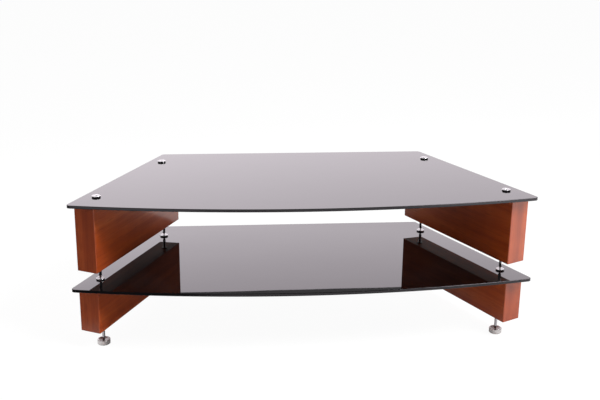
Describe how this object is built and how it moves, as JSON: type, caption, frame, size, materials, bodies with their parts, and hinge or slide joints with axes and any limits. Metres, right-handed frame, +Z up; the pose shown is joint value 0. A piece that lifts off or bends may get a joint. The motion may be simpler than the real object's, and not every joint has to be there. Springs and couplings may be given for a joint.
{
  "type": "corner tv stand",
  "caption": "Corner TV stand with bowed black glass shelves on thick slanted wooden side panels, standing on spikes in floor cups.",
  "frame": {"origin": "on the floor, under the centre of the bounding box", "axes": "+X to the right seen from the front, +Y to the back (towards the wall corner), +Z up"},
  "size_m": [1.193, 0.53, 0.411],
  "materials": {
    "glass": "polished black",
    "wood": "satin lacquered veneer, grain along the panel and upright on its ends",
    "chrome": "polished",
    "spike": "polished",
    "cup": "turned",
    "insert": "dark plated",
    "soft": "matte"
  },
  "bodies": {
    "lower_tier": {"lower_glass": "glass", "lower_left_panel": "wood", "lower_right_panel": "wood", "lower_discs": "chrome", "lower_washers": "soft", "lower_sleeves": "soft", "lower_pads": "soft", "lower_top_inserts": "insert", "lower_foot_inserts": "insert"},
    "upper_tier": {"top_glass": "glass", "upper_left_panel": "wood", "upper_right_panel": "wood", "top_discs": "chrome", "top_washers": "soft", "top_sleeves": "soft", "top_pads": "soft", "upper_top_inserts": "insert", "upper_foot_inserts": "insert"},
    "upper_foot_fl": {"upper_spike_fl": "spike"},
    "upper_foot_fr": {"upper_spike_fr": "spike"},
    "upper_foot_bl": {"upper_spike_bl": "spike"},
    "upper_foot_br": {"upper_spike_br": "spike"},
    "lower_foot_fl": {"lower_spike_fl": "spike"},
    "lower_foot_fr": {"lower_spike_fr": "spike"},
    "lower_foot_bl": {"lower_spike_bl": "spike"},
    "lower_foot_br": {"lower_spike_br": "spike"},
    "floor_cup_body_fl": {"floor_cup_fl": "cup", "floor_pad_fl": "soft"},
    "floor_cup_body_fr": {"floor_cup_fr": "cup", "floor_pad_fr": "soft"},
    "floor_cup_body_bl": {"floor_cup_bl": "cup", "floor_pad_bl": "soft"},
    "floor_cup_body_br": {"floor_cup_br": "cup", "floor_pad_br": "soft"}
  },
  "joints": [
    {"name": "upper_tier_lift", "type": "slide", "parent": "lower_tier", "child": "upper_tier", "axis": [0, 0, 1], "range_m": [0, 0.06]},
    {"name": "upper_spike_fl_screw", "type": "slide", "parent": "upper_tier", "child": "upper_foot_fl", "axis": [0, 0, 1], "range_m": [0, 0.01]},
    {"name": "upper_spike_fr_screw", "type": "slide", "parent": "upper_tier", "child": "upper_foot_fr", "axis": [0, 0, 1], "range_m": [0, 0.01]},
    {"name": "upper_spike_bl_screw", "type": "slide", "parent": "upper_tier", "child": "upper_foot_bl", "axis": [0, 0, 1], "range_m": [0, 0.01]},
    {"name": "upper_spike_br_screw", "type": "slide", "parent": "upper_tier", "child": "upper_foot_br", "axis": [0, 0, 1], "range_m": [0, 0.01]},
    {"name": "lower_spike_fl_screw", "type": "slide", "parent": "lower_tier", "child": "lower_foot_fl", "axis": [0, 0, 1], "range_m": [0, 0.01]},
    {"name": "lower_spike_fr_screw", "type": "slide", "parent": "lower_tier", "child": "lower_foot_fr", "axis": [0, 0, 1], "range_m": [0, 0.01]},
    {"name": "lower_spike_bl_screw", "type": "slide", "parent": "lower_tier", "child": "lower_foot_bl", "axis": [0, 0, 1], "range_m": [0, 0.01]},
    {"name": "lower_spike_br_screw", "type": "slide", "parent": "lower_tier", "child": "lower_foot_br", "axis": [0, 0, 1], "range_m": [0, 0.01]},
    {"name": "floor_cup_fl_drop", "type": "slide", "parent": "lower_foot_fl", "child": "floor_cup_body_fl", "axis": [0, 0, -1], "range_m": [0, 0.015]},
    {"name": "floor_cup_fr_drop", "type": "slide", "parent": "lower_foot_fr", "child": "floor_cup_body_fr", "axis": [0, 0, -1], "range_m": [0, 0.015]},
    {"name": "floor_cup_bl_drop", "type": "slide", "parent": "lower_foot_bl", "child": "floor_cup_body_bl", "axis": [0, 0, -1], "range_m": [0, 0.015]},
    {"name": "floor_cup_br_drop", "type": "slide", "parent": "lower_foot_br", "child": "floor_cup_body_br", "axis": [0, 0, -1], "range_m": [0, 0.015]}
  ]
}
